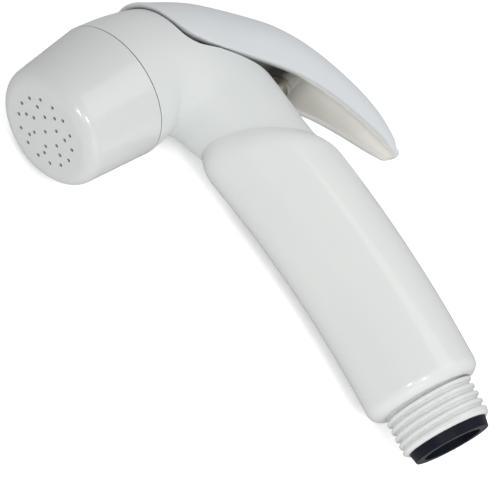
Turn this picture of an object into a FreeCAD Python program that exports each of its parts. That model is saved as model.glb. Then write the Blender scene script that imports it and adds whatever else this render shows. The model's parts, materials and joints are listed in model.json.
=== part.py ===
"""Hand-held spray shower head with a thumb lever, lying on its side.

Frame: the origin is the centre of the inlet's end face, +X runs along the hose
thread towards the hose, the handle bends towards -Y, the lever is on the +Y side,
+Z is up and the plane z = 0 is the plane of symmetry. All sizes are in millimetres.
"""
import FreeCAD, Part
import Sketcher
import math
import os
from FreeCAD import Placement, Rotation, Vector

DOC = FreeCAD.newDocument("spray_head")

# driving sizes: alias, value, meaning
SIZES = [
    ("thread_radius", 10.4775, "major radius of the half-inch hose thread"),
    ("thread_relief_radius", 9.30, "neck beside the shoulder, at the thread's root"),
    ("thread_relief", 0.80, "length of that neck"),
    ("spigot_length", 11.60, "from the inlet's end face to the handle's shoulder"),
    ("bend_start", 18.14, "from the inlet's end face to the start of the grip's bend"),
    ("spigot_root", 1.40, "how far the spigot runs into the grip"),
    ("thread_chamfer", 0.60, "chamfer at the thread's start"),
    ("spigot_bore", 7.65, "radius of the bore that takes the inlet collar"),
    ("spigot_bore_depth", 17.00, "its depth from the inlet's end face"),
    ("collar_recess_radius", 8.70, "radius of the seat of the collar's seal"),
    ("collar_recess", 1.10, "depth of that seat"),
    ("handle_radius", 13.35, "grip radius"),
    ("handle_bend", 251.60, "radius of the grip's gentle bend"),
    ("handle_run", 59.40, "length of the grip's bend along its centre line"),
    ("handle_shoulder", 3.00, "rounding of the shoulder"),
    ("handle_wall", 4.35, "wall of the grip round its hollow"),
    ("handle_floor", 24.50, "where the hollow ends, from the inlet's end face"),
    ("seam_slant", 34.20, "slant of the seam between handle and head, degrees"),
    ("handle_lip", 1.85, "rounding of the grip's edge at the seam"),
    ("leg_angle", 196.00, "direction of the head's leg, degrees from +X"),
    ("nose_angle", 283.40, "direction of the nose, degrees from +X"),
    ("leg_run", 30.20, "from the handle seam to the corner of leg and nose"),
    ("nose_run", 20.62, "from that corner to the nose seam"),
    ("elbow_bend", 16.00, "radius of the elbow's centre line"),
    ("neck_radius", 11.34, "head radius at the handle seam"),
    ("elbow_radius", 13.31, "head radius half way round"),
    ("nose_radius", 15.82, "head radius at the nose seam"),
    ("recess", 3.00, "how deep the head is recessed under the lever"),
    ("recess_front", 15.00, "from the nose seam to the front edge of the recess"),
    ("recess_corner", 8.00, "rounding of the corner of recess and lever"),
    ("lever_gap", 0.45, "gap between the lever's edge and the head"),
    ("rim_behind", 7.56, "from the corner back along the leg to the foot of the lever's rim"),
    ("rim_height", 0.54, "from the leg's line outwards to that foot"),
    ("rim_angle", 66.00, "direction of the lever's rim past the corner, degrees"),
    ("lever_swing", 6.00, "travel of the lever, degrees"),
    ("leg_bore", 8.05, "radius of the bore for the valve block"),
    ("leg_spigot", 9.60, "radius of the head's spigot in the handle"),
    ("leg_spigot_length", 8.00, "its length past the seam"),
    ("leg_spigot_root", 7.20, "how far that spigot runs into the head"),
    ("end_play", 0.50, "free depth at the end of a socket or hollow"),
    ("socket_clearance", 0.05, "radial clearance of that spigot"),
    ("waterway", 7.20, "radius of the waterway round the elbow"),
    ("block_start", 1.00, "valve block: start past the handle seam"),
    ("block_length", 17.00, "valve block: length"),
    ("block_seal_station", 16.20, "its seal ring, past the handle seam"),
    ("block_seal_section", 0.43, "section radius of that ring"),
    ("passage_radius", 2.70, "radius of the block's inlet passage"),
    ("passage_inset", 2.40, "that passage, inwards of the leg axis"),
    ("fit_gap", 0.05, "radial clearance of parts that slip together"),
    ("valve_station", 9.50, "valve axis, past the handle seam"),
    ("chamber_radius", 4.20, "radius of the valve chamber"),
    ("seat_radius", 2.90, "radius of the valve seat's hole"),
    ("seat_depth", 0.80, "pressure face of the seat, outwards of the leg axis"),
    ("seat_web", 0.90, "thickness of the seat web"),
    ("outlet_height", 2.80, "height of the outlet slot above the seat"),
    ("outlet_width", 6.40, "width of the outlet slot"),
    ("gland_boss", 5.80, "radius of the boss round the gland"),
    ("gland_bore", 3.95, "radius of the bore for the gland"),
    ("gland_floor", 5.60, "floor of that bore, outwards of the leg axis"),
    ("gland_head_radius", 4.70, "radius of the gland's head"),
    ("gland_head", 1.30, "thickness of the gland's head"),
    ("gland_top", 12.10, "top of the gland's head, outwards of the leg axis"),
    ("stem_radius", 1.50, "radius of the valve stem"),
    ("stem_neck", 1.20, "radius of the stem's lower end"),
    ("stem_top", 16.60, "top of the stem, outwards of the leg axis"),
    ("stem_button", 2.80, "radius of the stem's button"),
    ("stem_button_height", 0.80, "height of that button"),
    ("stem_seal_station", 7.15, "its seal ring, outwards of the leg axis"),
    ("stem_seal_section", 0.54, "section radius of that ring"),
    ("disc_radius", 3.70, "radius of the valve disc"),
    ("disc_thickness", 1.40, "thickness of the valve disc"),
    ("clip_radius", 2.30, "radius of the clip under the disc"),
    ("clip_thickness", 0.60, "thickness of that clip"),
    ("plug_start", 4.90, "the plug that closes the chamber, inwards of the leg axis"),
    ("plug_thickness", 1.90, "its thickness"),
    ("plug_seal_section", 0.42, "section radius of its seal ring"),
    ("spring_radius", 2.90, "mean radius of the two springs"),
    ("spring_wire", 0.22, "half the wire's thickness"),
    ("tube_radius", 5.00, "outer radius of the water tube"),
    ("tube_bore", 3.80, "bore radius of the water tube"),
    ("tube_bend", 156.50, "bend radius of the water tube"),
    ("tube_socket", 3.60, "depth of the tube's socket in the block"),
    ("ring_section", 0.78, "section radius of the tube's seal rings"),
    ("tube_recess_radius", 6.60, "radius of the seat of such a ring"),
    ("tube_recess", 2.20, "depth of that seat in the handle"),
    ("block_recess", 1.60, "depth of that seat in the valve block"),
    ("nose_spigot_length", 6.60, "length of the nose spigot that takes the cap"),
    ("nose_wall", 1.80, "wall of that spigot"),
    ("cap_seal_station", 5.00, "its seal ring, past the nose seam"),
    ("cap_seal_section", 0.53, "section radius of that ring"),
    ("cap_length", 19.70, "from the nose seam to the spray face"),
    ("cap_taper", 0.101, "narrowing of the cap per millimetre"),
    ("cap_edge", 3.40, "rounding of the cap's edge"),
    ("cap_face", 2.20, "thickness of the spray face"),
    ("cap_wall", 2.57, "wall of the cap where it takes the spigot"),
    ("cap_socket", 8.60, "depth of the cap's bore for the spigot"),
    ("plate_step", 1.10, "step in radius from spigot to diffuser plate, and its skirt's wall"),
    ("cap_step", 0.50, "step in radius from that plate to the bore behind the face"),
    ("cap_seam", 0.20, "width of the seam between cap and head"),
    ("hole_ring", 8.02, "radius of the outermost ring of spray holes"),
    ("hole_radius", 0.45, "radius of a spray hole"),
    ("plate_face", 1.20, "thickness of the diffuser plate"),
    ("plate_depth", 5.60, "length of the diffuser's skirt with its face"),
    ("collar_radius", 9.34, "radius of the inlet collar's flange"),
    ("collar_front_radius", 8.85, "radius at its front edge"),
    ("collar_flange", 2.30, "thickness of the flange"),
    ("collar_hole", 6.80, "radius of the hole in the collar"),
    ("collar_hole_depth", 2.95, "depth of that hole"),
    ("collar_wall_bore", 6.35, "radius of the collar's sleeve bore"),
    ("collar_seal_section", 0.53, "section radius of the seal behind the flange"),
    ("strainer_thickness", 0.55, "thickness of the inlet strainer"),
    ("strainer_hole", 0.70, "radius of a hole in the strainer"),
    ("collar_length", 13.50, "length of the collar with its sleeve"),
    ("check_seat", 4.40, "radius of the check valve's seat"),
    ("check_seat_face", 6.20, "its sealing face, from the inlet's end face"),
    ("check_seat_web", 1.20, "thickness of that seat"),
    ("poppet_radius", 5.30, "radius of the check valve's poppet"),
    ("poppet_head", 1.20, "thickness of its head"),
    ("poppet_stem", 1.25, "radius of its stem"),
    ("poppet_seal_section", 0.42, "section radius of its seal ring"),
    ("guide_thickness", 1.50, "thickness of the guide of that stem"),
    ("pin_radius", 1.50, "radius of the lever's pin"),
    ("pin_length", 12.40, "length of the lever's pin"),
    ("eye_reach", 4.50, "from the pin to the root of an eye"),
    ("eye_radius", 2.60, "radius of the lever's eyes"),
    ("pin_behind", 2.03, "from the corner of leg and nose back along the leg to the pin"),
    ("pin_height", 9.93, "from the leg's line outwards to the pin"),
    ("lug_radius", 3.00, "radius of the lug that holds the pin"),
    ("lug_half", 2.90, "half the width of the lug"),
    ("eye_gap", 0.35, "side gap between lug and eye"),
    ("eye_width", 2.00, "width of an eye"),
    ("lever_reach", 48.06, "from the foot of the lever's rim to its tip"),
    ("lever_wall", 1.80, "wall of the lever"),
    ("pusher_radius", 2.20, "radius of the lever's pusher"),
    ("pusher_length", 11.00, "its length, up into the lever's wall"),
    ("pusher_gap", 0.15, "gap between pusher and stem"),
]

sheet = DOC.addObject("Spreadsheet::Sheet", "Sizes")
for row, (alias, value, meaning) in enumerate(SIZES, start=1):
    sheet.set("A%d" % row, meaning)
    sheet.set("B%d" % row, str(value))
    sheet.setAlias("B%d" % row, alias)
DOC.recompute()


class Size:
    """A number together with the sheet formula that gives it."""

    def __init__(self, value, text):
        self.value = float(value)
        self.text = text

    def join(self, other, sign, value):
        text = other.text if isinstance(other, Size) else repr(float(other))
        return Size(value, "(%s %s %s)" % (self.text, sign, text))

    def __add__(self, other):
        return self.join(other, "+", self.value + float(other))

    def __sub__(self, other):
        return self.join(other, "-", self.value - float(other))

    def __mul__(self, other):
        return self.join(other, "*", self.value * float(other))

    def __neg__(self):
        return Size(-self.value, "(-1 * %s)" % self.text)

    def __float__(self):
        return self.value


def size(alias):
    """The size that a cell of the sheet holds."""
    return Size(sheet.get(alias), "Sizes." + alias)


def number(value):
    """A plain number as a size."""
    return value if isinstance(value, Size) else Size(value, repr(float(value)))


def direction(degrees):
    """Unit vector in the plane of symmetry."""
    return Vector(math.cos(math.radians(degrees)), math.sin(math.radians(degrees)), 0)


UP = Vector(0, 0, 1)


def facing(point, along):
    """Placement whose X axis runs along a direction in the plane of symmetry, Z up."""
    return Placement(point, Rotation(along, UP.cross(along), UP, "XZY"))


def across(point, along):
    """Placement of a section: its Z axis runs along, its Y axis is up."""
    return Placement(point, Rotation(UP.cross(along), UP, along, "ZYX"))


def new_body(label, placement=Placement()):
    """An empty body with its name and its place."""
    part = DOC.addObject("PartDesign::Body", label)
    part.Label = label
    part.Placement = placement
    return part


def origin_item(part, role):
    """The origin plane or axis of a body with a given role."""
    return [item for item in part.Origin.OriginFeatures if item.Role == role][0]


def new_sketch(part, label, offset=Placement(), role="XY_Plane"):
    """A sketch on one of the body's origin planes."""
    sketch = part.newObject("Sketcher::SketchObject", label)
    sketch.AttachmentSupport = [(origin_item(part, role), "")]
    sketch.MapMode = "FlatFace"
    sketch.AttachmentOffset = offset
    return sketch


def bind(sketch, kind, where, value):
    """A constraint driven by a size."""
    value = number(value)
    index = sketch.addConstraint(Sketcher.Constraint(kind, *where, value.value))
    sketch.setExpression("Constraints[%d]" % index, value.text)


def place_point(sketch, edge, end, x, y):
    """Place one end of an edge by two sizes."""
    for axis, kind, value in ((-2, "DistanceX", x), (-1, "DistanceY", y)):
        if abs(float(value)) < 1e-9:
            sketch.addConstraint(Sketcher.Constraint("PointOnObject", edge, end, axis))
        else:
            bind(sketch, kind, (edge, end), value)


def outline(sketch, points, rounded=None):
    """Closed outline through points; rounded gives the radius at some corners."""
    rounded = rounded or {}
    corners = [Vector(float(x), float(y), 0) for x, y in points]
    stops = []
    for i, corner in enumerate(corners):
        if i not in rounded:
            stops.append((points[i], None))
            continue
        before = (corners[i - 1] - corner).normalize()
        after = (corners[(i + 1) % len(corners)] - corner).normalize()
        half = before.getAngle(after) / 2
        reach = float(rounded[i]) / math.tan(half)
        middle = (before + after).normalize()
        depth = float(rounded[i]) / math.sin(half) - float(rounded[i])
        first = corner + before * reach
        last = corner + after * reach
        stops.append(((first.x, first.y), (corner + middle * depth, rounded[i])))
        stops.append(((last.x, last.y), None))
    spots = [Vector(float(x), float(y), 0) for (x, y), bend in stops]
    for i, (place, bend) in enumerate(stops):
        start = spots[i]
        end = spots[(i + 1) % len(spots)]
        if bend is None:
            sketch.addGeometry(Part.LineSegment(start, end), False)
        else:
            sketch.addGeometry(Part.Arc(start, bend[0], end), False)
    for i, (place, bend) in enumerate(stops):
        other = (i + 1) % len(stops)
        first_end = arc_end(sketch, i, spots[other])
        second_end = arc_end(sketch, other, spots[other])
        sketch.addConstraint(Sketcher.Constraint("Coincident", i, first_end, other, second_end))
        place_point(sketch, i, arc_end(sketch, i, spots[i]), *place)
        if bend is not None:
            bind(sketch, "Radius", (i,), bend[1])


def arc_end(sketch, edge, spot):
    """1 or 2 for the end of an edge that lies on a spot."""
    return 1 if (sketch.getPoint(edge, 1) - spot).Length < 1e-6 else 2


def circles(sketch, places):
    """Full circles: centre and radius of each."""
    for i, (x, y, radius) in enumerate(places):
        centre = Vector(float(x), float(y), 0)
        sketch.addGeometry(Part.Circle(centre, Vector(0, 0, 1), float(radius)), False)
        place_point(sketch, i, 3, x, y)
        bind(sketch, "Radius", (i,), radius)


def turn(part, label, points, offset=Placement(), cut=False):
    """Turn an outline (distance along the axis, radius) about the sketch's X axis."""
    sketch = new_sketch(part, label + "_outline", offset)
    outline(sketch, points)
    kind = "PartDesign::Groove" if cut else "PartDesign::Revolution"
    feature = part.newObject(kind, label)
    feature.Profile = sketch
    feature.ReferenceAxis = (sketch, ["H_Axis"])
    feature.Angle = 360
    return feature


def rod(start, end, radius):
    """Outline of a plain cylinder from start to end on the axis."""
    return [(start, 0), (end, 0), (end, radius), (start, radius)]


def tube(start, end, outer, inner):
    """Outline of a plain ring from start to end on the axis."""
    return [(start, inner), (end, inner), (end, outer), (start, outer)]


def turned(label, points, placement=Placement()):
    """A body made by turning one outline about its X axis."""
    part = new_body(label, placement)
    turn(part, label + "_turned", points)
    return part


def slab(part, label, sketch, width, cut=False):
    """Pad or pocket by a width, half of it to each side of the sketch."""
    feature = part.newObject("PartDesign::Pocket" if cut else "PartDesign::Pad", label)
    feature.Profile = sketch
    feature.SideType = "Symmetric"
    width = number(width)
    feature.Length = width.value
    feature.setExpression("Length", width.text)
    return feature


def holes(part, label, station, width, places, count=1):
    """Round holes along the body's X axis, repeated round it."""
    offset = Placement(Vector(0, 0, float(station)), Rotation())
    sketch = new_sketch(part, label + "_plan", offset, "YZ_Plane")
    circles(sketch, places)
    pocket = slab(part, label, sketch, width, cut=True)
    if count > 1:
        DOC.recompute()
        ring = part.newObject("PartDesign::PolarPattern", label + "_round")
        ring.Originals = [pocket]
        ring.Axis = (origin_item(part, "X_Axis"), [""])
        ring.Angle = 360
        ring.Occurrences = count
        part.Tip = ring


def section(part, label, point, along, radius, tilt=0.0):
    """Section of a round tube cut at a tilt: a circle, or an ellipse in the plane."""
    sketch = new_sketch(part, label, across(point, along))
    if tilt:
        major = float(radius) / math.cos(math.radians(tilt))
        ellipse = Part.Ellipse(Vector(0, 0, 0), major, float(radius))
        sketch.addGeometry(ellipse, False)
        sketch.addConstraint(Sketcher.Constraint("Block", 0))
    else:
        circles(sketch, [(0, 0, radius)])
    return sketch


def loft(part, label, sketches, cut=False):
    """Loft through sections."""
    kind = "PartDesign::SubtractiveLoft" if cut else "PartDesign::AdditiveLoft"
    feature = part.newObject(kind, label)
    feature.Profile = sketches[0]
    feature.Sections = sketches[1:]
    feature.Ruled = False
    return feature


def spine(part, label, bend_start, bend_middle, bend_end, start=None, end=None):
    """Path of a bend, with a straight before and after it where they are given."""
    sketch = new_sketch(part, label)
    if start is not None:
        sketch.addGeometry(Part.LineSegment(start, bend_start), False)
    sketch.addGeometry(Part.Arc(bend_start, bend_middle, bend_end), False)
    if end is not None:
        sketch.addGeometry(Part.LineSegment(bend_end, end), False)
    for i in range(sketch.GeometryCount):
        sketch.addConstraint(Sketcher.Constraint("Block", i))
    return sketch


def swept(part, label, profile, path, cut=False):
    """Sweep a profile along a path."""
    kind = "PartDesign::SubtractivePipe" if cut else "PartDesign::AdditivePipe"
    feature = part.newObject(kind, label)
    feature.Profile = profile
    feature.Spine = (path, ["Edge%d" % (i + 1) for i in range(path.GeometryCount)])
    return feature


def seal_ring(label, point, along, radius, thickness):
    """A round seal ring; thickness is the radius of its section."""
    ring = DOC.addObject("Part::Torus", label)
    ring.Label = label
    ring.Placement = across(point, along)
    ring.setExpression("Radius1", number(radius).text)
    ring.setExpression("Radius2", number(thickness).text)
    return ring


def coil(label, placement, start, height, radius, wire, turns):
    """A coil spring along the body's X axis; wire is half the thickness of its square wire."""
    part = new_body(label, placement)
    sketch = new_sketch(part, label + "_wire")
    outline(sketch, tube(start - wire, start + wire, radius + wire, radius - wire))
    feature = part.newObject("PartDesign::AdditiveHelix", label + "_coil")
    feature.Profile = sketch
    feature.ReferenceAxis = (sketch, ["H_Axis"])
    feature.Mode = "height-turns-angle"
    feature.Height = float(height)
    feature.setExpression("Height", height.text)
    feature.Turns = turns
    return part


def in_plane(point, degrees):
    """Offset of a sketch in the plane of symmetry whose X axis has a direction."""
    return Placement(point, Rotation(UP, degrees))


# the lines that everything is placed on
BEND = size("handle_bend").value
SPIGOT = size("spigot_length").value
BEND_START = size("bend_start").value
RUN = size("handle_run").value
LEG = direction(size("leg_angle").value)
NOSE = direction(size("nose_angle").value)
INWARD = UP.cross(LEG)
SEAM_ANGLE = 180 + math.degrees(RUN / BEND) - size("seam_slant").value


def grip_point(run):
    """Point of the handle's centre line, from the start of its bend."""
    turn_angle = run / BEND
    down = BEND * math.cos(turn_angle) - BEND
    return Vector(-BEND_START - BEND * math.sin(turn_angle), down, 0)


SEAM = grip_point(RUN)
CORNER = SEAM + LEG * size("leg_run").value
NOSE_SEAM = CORNER + NOSE * size("nose_run").value
ELBOW = size("elbow_bend").value
TURN = size("nose_angle").value - size("leg_angle").value
TANGENT = ELBOW * math.tan(math.radians(TURN / 2))
ELBOW_START = CORNER - LEG * TANGENT
ELBOW_END = CORNER + NOSE * TANGENT
ELBOW_CENTRE = ELBOW_START + INWARD * ELBOW
ELBOW_LENGTH = ELBOW * math.radians(TURN)
LEG_STRAIGHT = size("leg_run").value - TANGENT
HEAD_RUN = LEG_STRAIGHT + ELBOW_LENGTH + size("nose_run").value - TANGENT
VALVE = SEAM + LEG * size("valve_station").value
OUTWARD = INWARD * -1
PIN = CORNER - LEG * size("pin_behind").value + OUTWARD * size("pin_height").value
AT_LEG = facing(SEAM, LEG)
AT_VALVE = facing(VALVE, INWARD)
AT_NOSE = facing(NOSE_SEAM, NOSE)


def elbow_point(share):
    """Point and direction on the elbow's bend."""
    angle = size("leg_angle").value + TURN * share
    along = direction(angle)
    return ELBOW_CENTRE - UP.cross(along) * ELBOW, along


def head_radius(run):
    """Radius of the head's outer form, from the handle seam."""
    u = run / HEAD_RUN
    return (size("neck_radius").value * (1 - u) * (1 - 2 * u)
            + size("elbow_radius").value * 4 * u * (1 - u)
            + size("nose_radius").value * u * (2 * u - 1))


# handle: bent grip with its lip, threaded spigot, bores
handle = new_body("handle")
GRIP = size("handle_radius").value
OVER_RUN = RUN + GRIP
FLOOR = size("handle_floor").value - BEND_START
SOCKET_RUN = RUN - size("leg_spigot_length").value - size("end_play").value


shoulder_point = Vector(-SPIGOT, 0, 0)
path = spine(handle, "grip_path", grip_point(0), grip_point(RUN / 2), grip_point(OVER_RUN),
             shoulder_point)
grip_start = section(handle, "grip_circle", shoulder_point, direction(180), size("handle_radius"))
swept(handle, "grip", grip_start, path)
seam_line = direction(SEAM_ANGLE - 90)
sketch = new_sketch(handle, "seam_outline")
low_end = SEAM - seam_line * GRIP * 2
high_end = SEAM + seam_line * GRIP * 2
beyond = direction(SEAM_ANGLE) * GRIP * 3
outline(sketch, [(p.x, p.y) for p in (low_end, high_end, high_end + beyond, low_end + beyond)])
grip = slab(handle, "seam_cut", sketch, size("handle_radius") * 4, cut=True)
DOC.recompute()
shoulder_edges = []
for index, edge in enumerate(grip.Shape.Edges, start=1):
    if abs(edge.BoundBox.XMin + SPIGOT) < 0.01 and abs(edge.BoundBox.XMax + SPIGOT) < 0.01:
        shoulder_edges.append("Edge%d" % index)
shoulder = handle.newObject("PartDesign::Fillet", "grip_shoulder")
shoulder.Base = (grip, shoulder_edges)
shoulder.setExpression("Radius", "Sizes.handle_shoulder")
DOC.recompute()
seam_edges = []
for index, edge in enumerate(shoulder.Shape.Edges, start=1):
    if all(abs((spot - SEAM).dot(direction(SEAM_ANGLE))) < 0.01 for spot in edge.discretize(9)):
        seam_edges.append("Edge%d" % index)
lip = handle.newObject("PartDesign::Fillet", "grip_lip")
lip.Base = (shoulder, seam_edges)
lip.setExpression("Radius", "Sizes.handle_lip")
DOC.recompute()
END = -size("collar_flange")
NECK = size("thread_relief") - size("spigot_length")
THREAD = size("thread_radius")
ROOT = -size("spigot_length") - size("spigot_root")
CHAMFER = size("thread_chamfer")
turn(handle, "spigot", [
    (ROOT, 0), (END, 0), (END, THREAD - CHAMFER), (END - CHAMFER, THREAD), (NECK, THREAD),
    (NECK, size("thread_relief_radius")), (ROOT, size("thread_relief_radius"))])
SOCKET = size("tube_radius") + size("fit_gap")
COLLAR_RECESS = size("collar_recess_radius")
COLLAR_FLOOR = END - size("collar_recess")
BORE_FLOOR = -size("spigot_bore_depth")
TUBE_RECESS = size("tube_recess_radius")
TUBE_FLOOR = BORE_FLOOR - size("tube_recess")
HOLLOW_START = -size("handle_floor") - size("end_play")
turn(handle, "inlet_bores", [
    (END + 1.0, 0), (END + 1.0, COLLAR_RECESS), (COLLAR_FLOOR, COLLAR_RECESS),
    (COLLAR_FLOOR, size("spigot_bore")), (BORE_FLOOR, size("spigot_bore")),
    (BORE_FLOOR, TUBE_RECESS), (TUBE_FLOOR, TUBE_RECESS), (TUBE_FLOOR, SOCKET),
    (HOLLOW_START, SOCKET), (HOLLOW_START, 0)], cut=True)
path = spine(handle, "hollow_path", grip_point(FLOOR), grip_point(SOCKET_RUN / 2),
             grip_point(SOCKET_RUN))
hollow = size("handle_radius") - size("handle_wall")
hollow_way = direction(180 + math.degrees(FLOOR / BEND))
hollow_start = section(handle, "hollow_circle", grip_point(FLOOR), hollow_way, hollow)
swept(handle, "grip_hollow", hollow_start, path, cut=True)
LEG_END = -size("leg_spigot_length") - size("end_play") * 2
turn(handle, "head_socket",
     rod(LEG_END, size("handle_radius"), size("leg_spigot") + size("socket_clearance")),
     in_plane(SEAM, size("leg_angle").value), cut=True)

# head: outer form, recess with its core, spigots, lug and bores
head = new_body("head_body")


def head_sections(part, label, inset):
    """Sections of the head's form, drawn in by an inset."""
    found = []
    leg = size("leg_angle").value
    for count, (run, share) in enumerate(((0.0, 0.0), (LEG_STRAIGHT * 0.52, 0.5))):
        normal = SEAM_ANGLE + (leg - SEAM_ANGLE) * share
        place = SEAM + LEG * run
        radius = head_radius(run) - inset
        name = "%s_leg_%d" % (label, count)
        found.append(section(part, name, place, direction(normal), radius, leg - normal))
    for count, share in enumerate((0.0, 0.33, 0.67, 1.0)):
        place, along = elbow_point(share)
        radius = head_radius(LEG_STRAIGHT + ELBOW_LENGTH * share) - inset
        found.append(section(part, "%s_bend_%d" % (label, count), place, along, radius))
    radius = head_radius(HEAD_RUN) - inset
    found.append(section(part, label + "_nose", NOSE_SEAM, NOSE, radius))
    return found


def meeting(first, first_way, second, second_way):
    """Point where two lines in the plane of symmetry meet."""
    gap = second - first
    cross = first_way.x * second_way.y - first_way.y * second_way.x
    reach = (gap.x * second_way.y - gap.y * second_way.x) / cross
    return first + first_way * reach


ACROSS_NOSE = UP.cross(NOSE)
RIM = direction(size("rim_angle").value)
RIM_POINT = CORNER - LEG * size("rim_behind").value + OUTWARD * size("rim_height").value
GAP = size("lever_gap").value
loft(head, "head_form", head_sections(head, "form", 0.0))
front = NOSE_SEAM - NOSE * size("recess_front").value
foot = RIM_POINT - UP.cross(RIM) * GAP
recess_corner = meeting(front, ACROSS_NOSE, foot, RIM)
WIDE = size("nose_radius").value
far_front = front - ACROSS_NOSE * WIDE * 2
relief = direction(size("rim_angle").value - size("lever_swing").value - 0.5)
far_top = foot + relief * WIDE * 1.7
outside = OUTWARD * WIDE * 1.5
sketch = new_sketch(head, "recess_outline")
outline(sketch, [(p.x, p.y) for p in (
    far_front, recess_corner, foot, far_top, far_top + outside, far_front + outside)],
    {1: size("recess_corner")})
slab(head, "recess_cut", sketch, size("nose_radius") * 4, cut=True)
loft(head, "recess_core", head_sections(head, "core", size("recess").value))
turn(head, "leg_spigot", rod(-size("leg_spigot_length"), size("leg_spigot_root"), size("leg_spigot")),
     in_plane(SEAM, size("leg_angle").value))
CAP_BORE = size("nose_radius") - size("cap_wall")
NOSE_SPIGOT = CAP_BORE - size("fit_gap")
NOSE_END = size("nose_spigot_length")
CAP_RING = size("cap_seal_section")
GROOVE_FLOOR = NOSE_SPIGOT - CAP_RING * 2 + 0.01
GROOVE_HALF = CAP_RING + 0.12
GROOVE_BACK = size("cap_seal_station") - GROOVE_HALF
GROOVE_FRONT = size("cap_seal_station") + GROOVE_HALF
turn(head, "nose_spigot", [
    (-size("nose_wall"), 0), (NOSE_END, 0), (NOSE_END, NOSE_SPIGOT), (GROOVE_FRONT, NOSE_SPIGOT),
    (GROOVE_FRONT, GROOVE_FLOOR), (GROOVE_BACK, GROOVE_FLOOR), (GROOVE_BACK, NOSE_SPIGOT),
    (-size("nose_wall"), NOSE_SPIGOT)], in_plane(NOSE_SEAM, size("nose_angle").value))
BOSS_TOP = size("gland_top") - size("gland_head")
OUTWARDS = in_plane(VALVE, size("leg_angle").value - 90)
turn(head, "gland_boss", rod(size("leg_bore") - 1.0, BOSS_TOP, size("gland_boss")), OUTWARDS)
to_bend = (ELBOW_CENTRE - PIN).normalize()
LUG_ANGLE = math.degrees(math.atan2(to_bend.y, to_bend.x))
sketch = new_sketch(head, "lug_web_outline", in_plane(PIN, LUG_ANGLE))
LUG = size("lug_radius")
LUG_REACH = LUG * 1.7
outline(sketch, [(0, -LUG), (LUG_REACH, -LUG), (LUG_REACH, LUG), (0, LUG)])
slab(head, "lug_web", sketch, size("lug_half") * 2)
sketch = new_sketch(head, "lug_eye_outline", in_plane(PIN, 0))
circles(sketch, [(0, 0, LUG)])
slab(head, "lug_eye", sketch, size("lug_half") * 2)
turn(head, "block_bore",
     rod(LEG_END, size("block_start") + size("block_length"), size("leg_bore")),
     in_plane(SEAM, size("leg_angle").value), cut=True)
middle, middle_way = elbow_point(0.5)
water_start = ELBOW_START - LEG * size("waterway").value * 0.4
path = spine(head, "waterway_path", ELBOW_START, middle, ELBOW_END, water_start, NOSE_SEAM + NOSE)
mouth = section(head, "waterway_section", water_start, LEG, size("waterway"))
swept(head, "waterway", mouth, path, cut=True)
CHAMBER = NOSE_SPIGOT - size("nose_wall")
CONE_START = size("waterway") - 1.0
CHAMBER_FLOOR = size("nose_wall") * 0.4
CHAMBER_BACK = CHAMBER - CONE_START + CHAMBER_FLOOR
turn(head, "nose_chamber", [
    (-CHAMBER_BACK, 0), (NOSE_END + 1.0, 0), (NOSE_END + 1.0, CHAMBER), (-CHAMBER_FLOOR, CHAMBER),
    (-CHAMBER_BACK, CONE_START)],
    in_plane(NOSE_SEAM, size("nose_angle").value), cut=True)
GLAND_HOLE = size("gland_bore") + size("fit_gap")
HEAD_HOLE = size("gland_head_radius") + size("fit_gap") * 2
turn(head, "gland_hole", [
    (size("gland_floor"), 0), (size("gland_top") * 1.2, 0), (size("gland_top") * 1.2, HEAD_HOLE),
    (BOSS_TOP, HEAD_HOLE), (BOSS_TOP, GLAND_HOLE), (size("gland_floor"), GLAND_HOLE)],
    OUTWARDS, cut=True)
sketch = new_sketch(head, "pin_hole_outline", in_plane(PIN, 0))
circles(sketch, [(0, 0, size("pin_radius"))])
slab(head, "pin_hole", sketch, size("lug_half") * 4, cut=True)

# lever's pin, a plain rod across the head
lever_pin = new_body("lever_pin", Placement(PIN, Rotation()))
sketch = new_sketch(lever_pin, "pin_outline")
circles(sketch, [(0, 0, size("pin_radius"))])
slab(lever_pin, "pin", sketch, size("pin_length"))

# nozzle cap with its spray face, its seal and the diffuser behind the face
cap = new_body("nozzle_cap", AT_NOSE)
CAP = size("cap_length").value
NARROW = WIDE - size("cap_taper").value * CAP
SEAM_WIDTH = size("cap_seam")
PLATE = NOSE_SPIGOT - size("plate_step")
PLATE_BORE = PLATE + size("fit_gap")
FACE_BORE = PLATE - size("cap_step")
PLATE_BACK = size("nose_spigot_length") + size("plate_depth")
turn(cap, "cap_turned", [
    (SEAM_WIDTH, 0), (size("cap_length"), 0), (size("cap_length"), NARROW),
    (SEAM_WIDTH, size("nose_radius") - 0.02)])
DOC.recompute()
form = cap.Tip
rim_edges = []
for index, edge in enumerate(form.Shape.Edges, start=1):
    if abs(edge.BoundBox.Center.x - CAP) < 0.01 and edge.Length > NARROW:
        rim_edges.append("Edge%d" % index)
edge_round = cap.newObject("PartDesign::Fillet", "cap_edge")
edge_round.Base = (form, rim_edges)
edge_round.setExpression("Radius", "Sizes.cap_edge")
DOC.recompute()
FACE_BACK = size("cap_length") - size("cap_face")
turn(cap, "cap_bores", [
    (0, 0), (FACE_BACK, 0), (FACE_BACK, FACE_BORE), (PLATE_BACK, FACE_BORE),
    (PLATE_BACK, PLATE_BORE), (size("cap_socket"), PLATE_BORE), (size("cap_socket"), CAP_BORE),
    (0, CAP_BORE)], cut=True)
HOLE = size("hole_radius")
OUTER = size("hole_ring")
DEEP = size("cap_face") * 2.7
holes(cap, "spray_hole_middle", size("cap_length"), DEEP, [(0, 0, HOLE)])
holes(cap, "spray_holes_inner", size("cap_length"), DEEP, [(OUTER * 0.49, 0, HOLE)], 6)
holes(cap, "spray_holes_middle", size("cap_length"), DEEP, [(0, OUTER * 0.74, HOLE)], 7)
holes(cap, "spray_holes_outer", size("cap_length"), DEEP, [(OUTER, 0, HOLE)], 14)

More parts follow.
